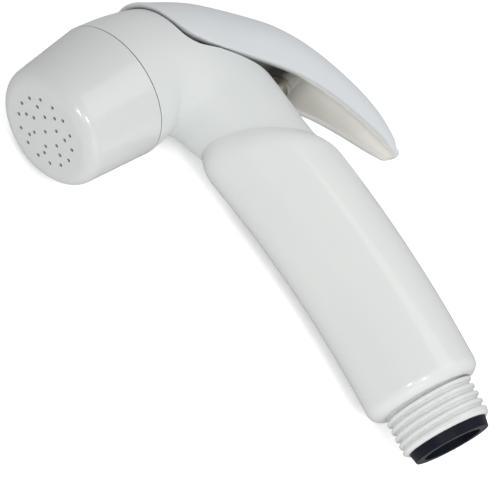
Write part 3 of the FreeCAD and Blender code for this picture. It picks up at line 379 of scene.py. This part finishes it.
# (distance from the inlet's end face, radius): the spigot's end and its rounded rim
SPIGOT_RIM = np.array([
    (SPIGOT_END, COLLAR_BORE), (SPIGOT_END, 9.20), (SPIGOT_END, 9.80),
    (SPIGOT_END + 0.06, 9.94), (SPIGOT_END + 0.50, 10.38), (SPIGOT_END + 0.62, THREAD_RADIUS)])
# the same for the bores of the water tube, its seal, the collar's sleeve and its flange
BORES = np.array([
    (24.6, 5.05), (19.2, 5.05), (19.2, 6.60), (17.0, 6.60), (17.0, 7.65), (3.4, 7.65),
    (3.4, COLLAR_BORE)])
# (first ring, last ring, number of rings) of the stretches between the corners
THREAD_ROWS = (SPIGOT_END + 0.7, NECK_START - 0.1, 84)
STRAIGHT_ROWS = (SHOULDER + SHOULDER_ROUND + 0.6, BEND_START - 0.4, 6)
HOLLOW_ROWS = (GRIP_RUN - 9.4, 6.36, 12)
# numbers of rings, and the powers that crowd them towards the lip and within it
SHOULDER_RINGS = 17
GRIP_RINGS = 49
GRIP_CROWDING = 0.9
LIP_RINGS = 26
LIP_CROWDING = 1.4
TURN = turns(192)


def straight_rings(distance, radius):
    """Rings of points round the inlet's axis, one for each distance from its end face."""
    distance, radius, turn = np.broadcast_arrays(distance, radius, TURN)
    return np.stack([-distance, radius * np.cos(turn), radius * np.sin(turn)], -1)


def grip_frame(run):
    """Point of the grip's centre line, which is an arc, and its outward normal, at a run."""
    angle = run / BEND_RADIUS
    flat = np.zeros_like(angle)
    point = np.stack([-BEND_START - BEND_RADIUS * np.sin(angle),
                      BEND_RADIUS * (np.cos(angle) - 1.0), flat], -1)
    return point, np.stack([-np.sin(angle), np.cos(angle), flat], -1)


def grip_rings(run, radius):
    """Rings of points round the grip: the arc's point plus a radius turned about the arc."""
    run, radius, turn = np.broadcast_arrays(run, radius, TURN)
    point, normal = grip_frame(run)
    across, rise = radius * np.cos(turn), radius * np.sin(turn)
    return point + across[..., None] * normal + rise[..., None] * UP


# the slanted plane of the seam between handle and head: a point of it and its normal
SEAM = grip_frame(np.array(GRIP_RUN))[0]
SEAM_NORMAL = unit(180.0 + math.degrees(GRIP_RUN / BEND_RADIUS) - SEAM_SLANT)


def seam_run(radius):
    """Runs at which the lines along the grip meet the seam's plane, by Newton's steps."""
    run = np.full(TURN.shape, GRIP_RUN)
    step, rounds = 0.01, 12
    for _ in range(rounds):
        here = (grip_rings(run, radius) - SEAM) @ SEAM_NORMAL
        ahead = (grip_rings(run + step, radius) - SEAM) @ SEAM_NORMAL
        run = run - here * step / (ahead - here)
    return run


def thread_radius(distance):
    """Radius on a right-hand thread with rounded crests and roots.

    The phase is the station along the axis over the pitch, less the turn. The depth is a
    soft step of the distance from the nearest crest, and grows over the thread's lead-in.
    """
    phase = (-distance - THREAD_PHASE) / THREAD_PITCH - TURN / (2.0 * math.pi)
    from_crest = np.abs(phase - np.round(phase)) * 2.0
    grown = soft_step(distance, SPIGOT_END + 0.5, THREAD_LEAD_IN)
    return THREAD_RADIUS - THREAD_DEPTH * grown * soft_step(from_crest, CREST_SHARE, FLANK_SHARE)


def outer_rings():
    """The handle's outside, from the spigot's end to the seam.

    A threaded spigot, a narrow neck, a shoulder that is a quarter circle, a straight and the
    bend. Along the lip the radius draws in by LIP_DRAW times a power of the share walked.
    """
    thread = by_ring(np.linspace(*THREAD_ROWS))
    runout = thread_radius(NECK_START)
    fall = by_ring([0.25, 0.60, 0.90, 1.0])
    neck = np.array([(SHOULDER - NECK_CORNER, NECK_RADIUS), (SHOULDER, NECK_RADIUS + NECK_CORNER)])
    bend = by_ring(np.radians(np.linspace(0.0, 90.0, SHOULDER_RINGS)))
    straight = by_ring(np.linspace(*STRAIGHT_ROWS))
    end = seam_run(GRIP_RADIUS - LIP_DRAW)
    share = by_ring(np.linspace(0.0, 1.0, GRIP_RINGS + 1)[:-1] ** GRIP_CROWDING)
    left = by_ring(np.linspace(1.0, 0.0, LIP_RINGS) ** LIP_CROWDING)
    return np.concatenate([
        straight_rings(SPIGOT_RIM[:, :1], SPIGOT_RIM[:, 1:]),
        straight_rings(thread, thread_radius(thread)),
        straight_rings(NECK_START + NECK_FALL * fall, runout + (NECK_RADIUS - runout) * fall),
        straight_rings(neck[:, :1], neck[:, 1:]),
        straight_rings(SHOULDER + SHOULDER_ROUND * (1.0 - np.cos(bend)),
                       GRIP_RADIUS - SHOULDER_ROUND * (1.0 - np.sin(bend))),
        straight_rings(straight, GRIP_RADIUS),
        grip_rings(share * (end - LIP_LENGTH), GRIP_RADIUS),
        grip_rings(end - LIP_LENGTH * left, GRIP_RADIUS - LIP_DRAW * (1.0 - left) ** LIP_POWER)])


def inner_rings():
    """The handle's inside: the seam's face, the head's socket, the hollow and the bores."""
    leg = unit(LEG_ANGLE)
    circle = np.cos(TURN)[:, None] * unit(LEG_ANGLE - 90.0) + np.sin(TURN)[:, None] * UP
    mouth = by_ring([SOCKET_MOUTH, SOCKET_RADIUS])[..., None] * circle
    slant = (mouth @ SEAM_NORMAL / (leg @ SEAM_NORMAL))[..., None] * leg
    floor_radius = by_ring([SOCKET_RADIUS, SOCKET_FLOOR])[..., None]
    floor_depth = by_ring([SOCKET_DEPTH, SOCKET_FLOOR_DEPTH])[..., None]
    return np.concatenate([
        SEAM + mouth - slant,
        SEAM + floor_radius * circle - floor_depth * leg,
        grip_rings(by_ring(np.linspace(*HOLLOW_ROWS)), HOLLOW_RADIUS),
        straight_rings(BORES[:, :1], BORES[:, 1:])])


def make_handle():
    """The handle: the rings of its outside and its inside, joined into one closed wall."""
    rings = np.concatenate([outer_rings(), inner_rings()])
    make_piece("handle_shell", [("loop", rings)], "shower_head", "handle",
               "white_shell")


make_handle()

# the lever's sections in millimetres: foot of the rim, half width, crown; a place between
# two sections is counted from 0 at the corner to 8 at the tip
LEVER = np.array([
    (-104.82, -20.33, 14.40, -118.84, -23.76),
    (-98.90, -12.70, 13.20, -115.00, -9.60),
    (-95.70, -5.90, 11.20, -106.60, 5.60),
    (-92.20, 1.30, 9.40, -100.60, 13.00),
    (-88.30, 7.30, 7.90, -93.40, 18.40),
    (-83.40, 12.40, 6.60, -84.60, 22.80),
    (-77.00, 17.20, 5.50, -76.50, 25.40),
    (-70.90, 20.80, 4.40, -69.30, 25.90),
    (-67.60, 22.40, 3.20, -66.90, 25.10)])
LEVER_WALL = 1.8
WALL_SHARE = 0.42
RIM_ROUND = 0.50
INNER_RIM_ROUND = 0.35
RIM_STEPS = (0.0, 0.05, 0.15, 0.30, 0.60)
ARCH_POINTS = 34
CORNER_TRIM = 3.93
FIRST_SECTION_STEP = 9.66
RIM_LIFT = 0.28
LEAST_DEPTH = 0.2
TIP_LENGTH = 1.6
# degrees of the tip's ellipse, and the numbers of sections at the corner, the back and the tip
TIP_ARC = (8.0, 87.0)
CORNER_SECTIONS, BACK_SECTIONS, TIP_SECTIONS = 30, 90, 14
# (share, place where it starts, places that it takes) of what changes along the lever
RIM_DROP = (1.0, 4.5, 2.0)
HOLLOW_RISE = (0.45, 3.0, 4.2)
HOLLOW_CLOSE = (0.93, 6.9, 1.1)
# GAP_FADE fades out the painted shade along the hollow; EYE_SHADE is the share of painted shade on
# the eyes and the pusher
GAP_FADE = (1.0, 3.4, 1.1)
EYE_SHADE = 0.72
PIN = (-106.806, -5.199)
EYE_RADIUS = 2.6
EYE_REACH = 3.4
EYE_WAY = 146.0
EYE_FACES = (3.25, 5.25)
EYE_EDGE = 0.25
EYE_POINTS = 96
PIN_HOLE = 1.55
ROD_POINTS = 64
VALVE = (-86.12, -9.60, 0.0)
# (distance from the valve's centre, radius) of the pusher, from its rounded nose up
PUSHER = np.array([(16.75, 0.4), (16.83, 0.9), (17.45, 2.1), (17.65, 2.2), (26.25, 2.2)])


def between(table, place):
    """Smooth curve through the rows of a table, at places counted in rows (Catmull-Rom)."""
    padded = np.concatenate([2.0 * table[:1] - table[1:2], table,
                             2.0 * table[-1:] - table[-2:-1]])
    row = np.clip(place.astype(int), 0, len(table) - 2)
    u = (place - row)[:, None]
    before, first, second, after = (padded[row + i] for i in range(4))
    return 0.5 * (2.0 * first + (second - before) * u
                  + (2.0 * before - 5.0 * first + 4.0 * second - after) * u * u
                  + (3.0 * first - before - 3.0 * second + after) * u ** 3)


def left_of(change, place):
    """What a change along the lever leaves at a place: 1 less its share of a soft step."""
    share, start, length = change
    return 1.0 - share * soft_step(place, start, length)


def drawn_in(distance, rounding):
    """How far a rounded edge lies below its face at a distance from the edge."""
    short = np.clip(rounding - distance, 0.0, rounding)
    return rounding - np.sqrt(rounding * rounding - short * short)


def arch(half, height, low):
    """Half of each arch from its foot to its crown: a straight skirt and a quarter circle.

    Returns the distance from the plane of symmetry, the height and the length walked.
    """
    skirt = np.maximum(height - half, 0.0)
    start = np.arcsin(np.clip(np.maximum(low - skirt, 0.0) / half, 0.0, 0.95))
    straight = np.maximum(skirt - low, 0.0)
    total = straight + half * (0.5 * math.pi - start)
    share = np.linspace(0.0, 1.0, ARCH_POINTS - len(RIM_STEPS) + 1)[1:]
    rim = np.broadcast_to(RIM_STEPS, (len(total), len(RIM_STEPS)))
    walk = np.concatenate([rim, RIM_STEPS[-1] + (total - RIM_STEPS[-1]) * share], 1)
    walk = np.minimum(walk, total)
    bend = start + np.maximum(walk - straight, 0.0) / half
    across = np.where(walk < straight, half, half * np.cos(bend))
    rise = np.where(walk < straight, low + walk, skirt + half * np.sin(bend))
    return across, rise, walk


def lever_rings(place, swell, ahead):
    """The lever's sections: outside from side to side, then the hollow back again.

    A section at a place is drawn about its middle by swell and moved ahead by a vector.
    """
    section = between(LEVER, place)
    place, swell = by_ring(place), by_ring(swell)
    foot = np.append(section[:, :2], 0.0 * place, 1)
    half = section[:, 2:3]
    rise_way = np.append(section[:, 3:], 0.0 * place, 1) - foot
    height = np.linalg.norm(rise_way, axis=1, keepdims=True)
    rise_way /= height
    from_corner = place * FIRST_SECTION_STEP
    trimmed = 1.0 - np.sqrt(np.minimum(from_corner / CORNER_TRIM, 1.0))
    low = CORNER_TRIM * trimmed ** 2 + RIM_LIFT * left_of(RIM_DROP, place)
    front = drawn_in(from_corner, RIM_ROUND)
    across, rise, walk = arch(half, height, low)
    across = across - (drawn_in(walk, RIM_ROUND) + front) * across / half
    rise = rise - front * (rise / height) ** 2
    wall = np.minimum(LEVER_WALL, WALL_SHARE * half)
    depth = (height - wall) * left_of(HOLLOW_RISE, place) * left_of(HOLLOW_CLOSE, place)
    inner, inner_rise, walk = arch(half - wall, np.maximum(depth, low + LEAST_DEPTH), low)
    inner = inner + drawn_in(walk, INNER_RIM_ROUND) * inner / (half - wall)
    sideways = np.concatenate([-across, across[:, ::-1], inner, -inner[:, ::-1]], 1) * swell
    upward = np.concatenate([rise, rise[:, ::-1], inner_rise, inner_rise[:, ::-1]], 1)
    middle = 0.5 * height
    upward = middle + (upward - middle) * swell
    return ((foot + ahead)[:, None] + sideways[..., None] * UP
            + upward[..., None] * rise_way[:, None])


def eye_rings(side):
    """One eye of the lever round its pin, with the web that joins it to the shell.

    Its outline is a circle on the side away from the shell. On the other side it is a web
    as wide as the circle, whose end is EYE_REACH from the pin; the clips keep the divisions
    by sine and cosine away from zero.
    """
    turn = turns(EYE_POINTS)
    apart = np.abs((turn - math.radians(EYE_WAY) + math.pi) % (2.0 * math.pi) - math.pi)
    flank = EYE_RADIUS / np.maximum(np.sin(np.clip(apart, 0.05, 0.5 * math.pi)), 0.05)
    front = EYE_REACH / np.maximum(np.cos(np.clip(apart, 0.0, 1.2)), 0.1)
    outer = np.where(apart < 0.5 * math.pi, np.minimum(flank, front), EYE_RADIUS)
    hole = np.full(turn.shape, PIN_HOLE)
    near, far = EYE_FACES
    radius = np.stack([outer - EYE_EDGE, outer, outer, outer - EYE_EDGE, hole, hole])
    height = side * by_ring([near, near + EYE_EDGE, far - EYE_EDGE, far, far, near])
    return np.stack([PIN[0] + radius * np.cos(turn), PIN[1] + radius * np.sin(turn),
                     np.broadcast_to(height, radius.shape)], -1)


def rod_rings(start, way, profile):
    """Rings of a turned rod along a direction in the plane, from (distance, radius) rows."""
    turn = turns(ROD_POINTS)[:, None]
    circle = np.cos(turn) * np.array([-way[1], way[0], 0.0]) + np.sin(turn) * UP
    distance, radius = profile[:, :1, None], profile[:, 1:, None]
    return np.array(start) + distance * way + radius * circle


def make_lever():
    """The lever: an arched shell with a spoon-shaped hollow, two eyes and a pusher.

    Each section has a straight skirt and a round top. The wall's free edge is rounded, the
    front corner is trimmed by a soft curve, and the hollow grows shallow towards the tip,
    which closes as the quarter of an ellipse. The attribute hollow marks the inside, painted
    lighter and warmer as bounced light; gap marks painted shade at its end and on the eyes.
    """
    tip = len(LEVER) - 1.0
    along = np.append(np.linspace(0.0, 1.0, CORNER_SECTIONS) ** 2,
                      np.linspace(1.0, tip, BACK_SECTIONS)[1:])
    close = np.radians(np.linspace(*TIP_ARC, TIP_SECTIONS))
    place = np.append(along, np.full(close.shape, tip))
    swell = np.append(np.ones(along.shape), np.cos(close))
    tip_way = np.append(LEVER[-1, :2] - LEVER[-2, :2], 0.0)
    tip_way /= np.linalg.norm(tip_way)
    ahead = np.append(np.zeros(along.shape), TIP_LENGTH * np.sin(close))
    shell = lever_rings(place, swell, by_ring(ahead) * tip_way)
    pusher = rod_rings(VALVE, unit(LEG_ANGLE - 90.0), PUSHER)
    lever = make_piece("lever_shell", [
        ("shell", shell), ("loop", eye_rings(1.0)), ("loop", eye_rings(-1.0)),
        ("lids", pusher)], "lever", "lever", "white_lever")
    rows, columns = shell.shape[:2]
    inside = np.broadcast_to(np.arange(columns) >= columns // 2, (rows, columns))
    rest = np.ones(len(lever.data.vertices) - inside.size)
    # painted light and shade on the lever: hollow lightens and warms the inside as bounced light,
    # gap paints shade on the inside's end and, a little less, on the eyes and the pusher
    for title, marked in (
            ("hollow", np.append(inside, rest)),
            ("gap", np.append(inside * by_ring(left_of(GAP_FADE, place)), EYE_SHADE * rest))):
        mark = lever.data.attributes.new(title, "FLOAT", "POINT")
        mark.data.foreach_set("value", marked.astype(np.float32))


make_lever()


# floor, lights and camera, in metres
FLOOR_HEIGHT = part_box("nozzle_cap")[0][2]
FLOOR_SIDE = 6.0
# how strongly the floor glows towards the object, and towards the camera
FLOOR_GLOW = 0.14
FLOOR_LIFT = 0.38
FLOOR_TONES = ((0.86, 0.86, 0.86, 1), (0.88, 0.88, 0.88, 1))
FLOOR_MIRRORED = (0.30, 0.30, 0.30, 1)
# painted shadow on the floor where the object rests: how far it reaches, and its darkest tone
CONTACT_REACH = 0.008
CONTACT_SHADOW_TONE = (0.40, 0.40, 0.41, 1)
WHITE = (1.0, 1.0, 1.0, 1)
WORLD_MIRRORED = (0.45, 0.45, 0.46, 1)
TARGET = (-0.06, 0.0, 0.0)
# place, side length and power of each lamp
LAMPS = {
    "key": ((0.16, -0.57, 0.44), 0.09, 0.74),
    "fill": ((0.34, -0.24, 0.58), 0.11, 0.96),
    "top": ((0.05, 0.35, 0.70), 0.50, 0.80),
    "side": ((0.50, -0.16, 0.10), 0.30, 0.28),
}
# the photograph's camera, fitted to the outline of the object
CAMERA_RIGHT = Vector((0.461, 0.793, 0.399)).normalized()
CAMERA_BACK = Vector((0.231, -0.541, 0.808)).normalized()
CAMERA_PLACE = Vector((68.8, -318.7, 443.6)) * MM
CAMERA_LENS = 181.61


def add_floor():
    """A wide plain floor, white to the camera but for a soft shade where the object rests.

    It glows a little, so that it lights the object from below, and mirrors as a darker floor.
    """
    mesh = bpy.data.meshes.new("floor")
    corners = np.array([(-1, -1), (1, -1), (1, 1), (-1, 1)]) * 0.5 * FLOOR_SIDE
    mesh.from_pydata([(x, y, FLOOR_HEIGHT) for x, y in corners], [], [(0, 1, 2, 3)])
    floor = bpy.data.objects.new("floor", mesh)
    bpy.context.scene.collection.objects.link(floor)
    material, tree, shader, place = new_material("floor_white")
    shader.inputs["Roughness"].default_value = 0.9
    shader.inputs["Specular IOR Level"].default_value = 0.0
    rays = tree.nodes.new("ShaderNodeLightPath")
    cloud = spread(tree, noise(tree, place, scale=6.0, detail=3.0), low=0.2, high=0.8)
    plain = mix_colour(tree, cloud, *FLOOR_TONES)
    plain = mix_colour(tree, rays.outputs["Is Glossy Ray"], plain, FLOOR_MIRRORED)
    open_share = openness(tree, samples=16, distance=CONTACT_REACH)
    contact = spread(tree, open_share, low=0.10, high=0.50)
    shown = mix_colour(tree, contact, CONTACT_SHADOW_TONE, WHITE)
    seen = rays.outputs["Is Camera Ray"]
    tree.links.new(mix_colour(tree, seen, plain, shown), shader.inputs["Base Color"])
    tree.links.new(shown, shader.inputs["Emission Color"])
    tree.links.new(spread(tree, seen, 0.0, 1.0, FLOOR_GLOW, FLOOR_LIFT),
                   shader.inputs["Emission Strength"])
    mesh.materials.append(material)


def add_lamp(name, place, size, power):
    """A white square area light at a place, aimed at the object."""
    lamp = bpy.data.lights.new(name, "AREA")
    lamp.shape = "SQUARE"
    lamp.size = size
    lamp.energy = power
    item = bpy.data.objects.new(name, lamp)
    bpy.context.scene.collection.objects.link(item)
    item.location = place
    way = Vector(TARGET) - Vector(place)
    item.rotation_euler = way.to_track_quat("-Z", "Y").to_euler()


def set_world():
    """White surroundings, brighter on the lever's side and darker in reflections."""
    world = bpy.data.worlds.new("studio")
    bpy.context.scene.world = world
    world.use_nodes = True
    tree = world.node_tree
    background = tree.nodes["Background"]
    way = tree.nodes.new("ShaderNodeTexCoord")
    parts = tree.nodes.new("ShaderNodeSeparateXYZ")
    rays = tree.nodes.new("ShaderNodeLightPath")
    tree.links.new(way.outputs["Generated"], parts.inputs["Vector"])
    strength = spread(tree, parts.outputs["Y"], low=-1.0, high=0.6, to_low=0.42, to_high=0.77)
    tree.links.new(strength, background.inputs["Strength"])
    tree.links.new(mix_colour(tree, rays.outputs["Is Glossy Ray"], WHITE, WORLD_MIRRORED),
                   background.inputs["Color"])


def add_camera():
    """The camera at the photograph's place and angle."""
    up = CAMERA_BACK.cross(CAMERA_RIGHT).normalized()
    right = up.cross(CAMERA_BACK)
    camera = bpy.data.cameras.new("camera")
    camera.sensor_fit = "HORIZONTAL"
    camera.sensor_width = 36.0
    camera.lens = CAMERA_LENS
    camera.clip_start = 0.01
    camera.clip_end = 20.0
    item = bpy.data.objects.new("camera", camera)
    bpy.context.scene.collection.objects.link(item)
    pose = Matrix((right, up, CAMERA_BACK)).transposed().to_4x4()
    pose.translation = CAMERA_PLACE
    item.matrix_world = pose
    bpy.context.scene.camera = item


add_floor()
set_world()
for lamp_name, (lamp_place, lamp_size, lamp_power) in LAMPS.items():
    add_lamp(lamp_name, lamp_place, lamp_size, lamp_power)
add_camera()
bpy.context.scene.view_settings.view_transform = "Standard"
